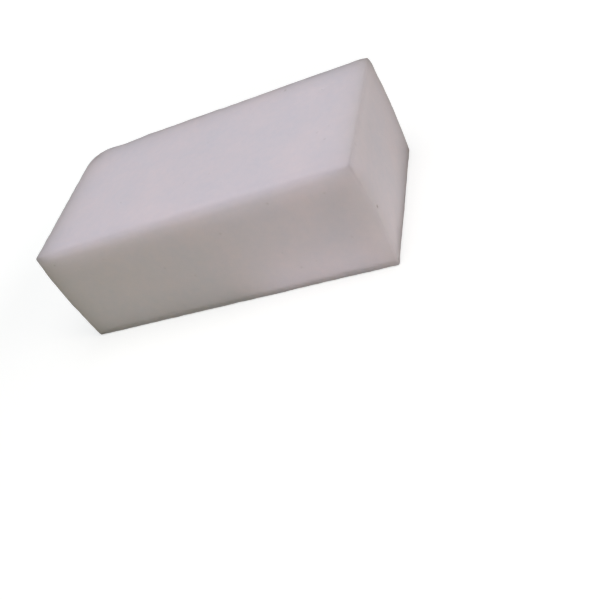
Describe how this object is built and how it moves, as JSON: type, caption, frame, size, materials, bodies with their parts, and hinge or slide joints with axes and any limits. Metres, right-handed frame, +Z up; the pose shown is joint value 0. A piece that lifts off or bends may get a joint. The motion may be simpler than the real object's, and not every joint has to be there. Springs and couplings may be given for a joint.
{
  "type": "cleaning sponge",
  "caption": "Rectangular block of white melamine foam for cleaning, with soft edges, swollen ends, hollow long sides and a blunted corner.",
  "frame": {"origin": "middle of the base, on the surface that the block lies on", "axes": "+X along the length towards the right end, +Y from the front long side to the back one, +Z up through the height"},
  "size_m": [0.1191, 0.061, 0.04],
  "materials": {
    "foam": "very matt open-cell melamine foam, white with a faint lavender tint, fine pores"
  },
  "bodies": {
    "root": {"foam_block": "foam"}
  },
  "joints": []
}
